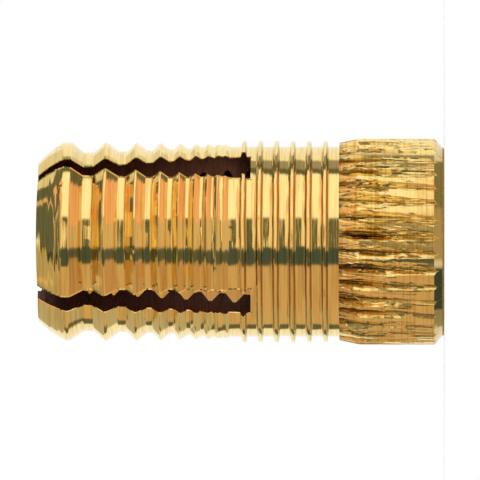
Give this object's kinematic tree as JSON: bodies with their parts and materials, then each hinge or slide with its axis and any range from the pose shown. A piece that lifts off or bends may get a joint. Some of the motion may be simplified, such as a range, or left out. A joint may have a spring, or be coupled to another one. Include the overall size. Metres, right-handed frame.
{
  "type": "wall plug",
  "caption": "Turned brass wall plug with a knurled collar, barbed rings and slotted, ridged legs that spread as a metric screw is driven into its threaded bore.",
  "frame": {"origin": "centre of the flat end face of the knurled collar, on which the plug stands", "axes": "+Z along the bore, from the collar to the slotted tip; +X and +Y along the two saw cuts that make the slots"},
  "size_m": [0.0126, 0.0126, 0.025],
  "materials": {
    "brass": "bright turned, with a nearly straight knurl"
  },
  "bodies": {
    "root": {"plug_sleeve": "brass"}
  },
  "joints": []
}
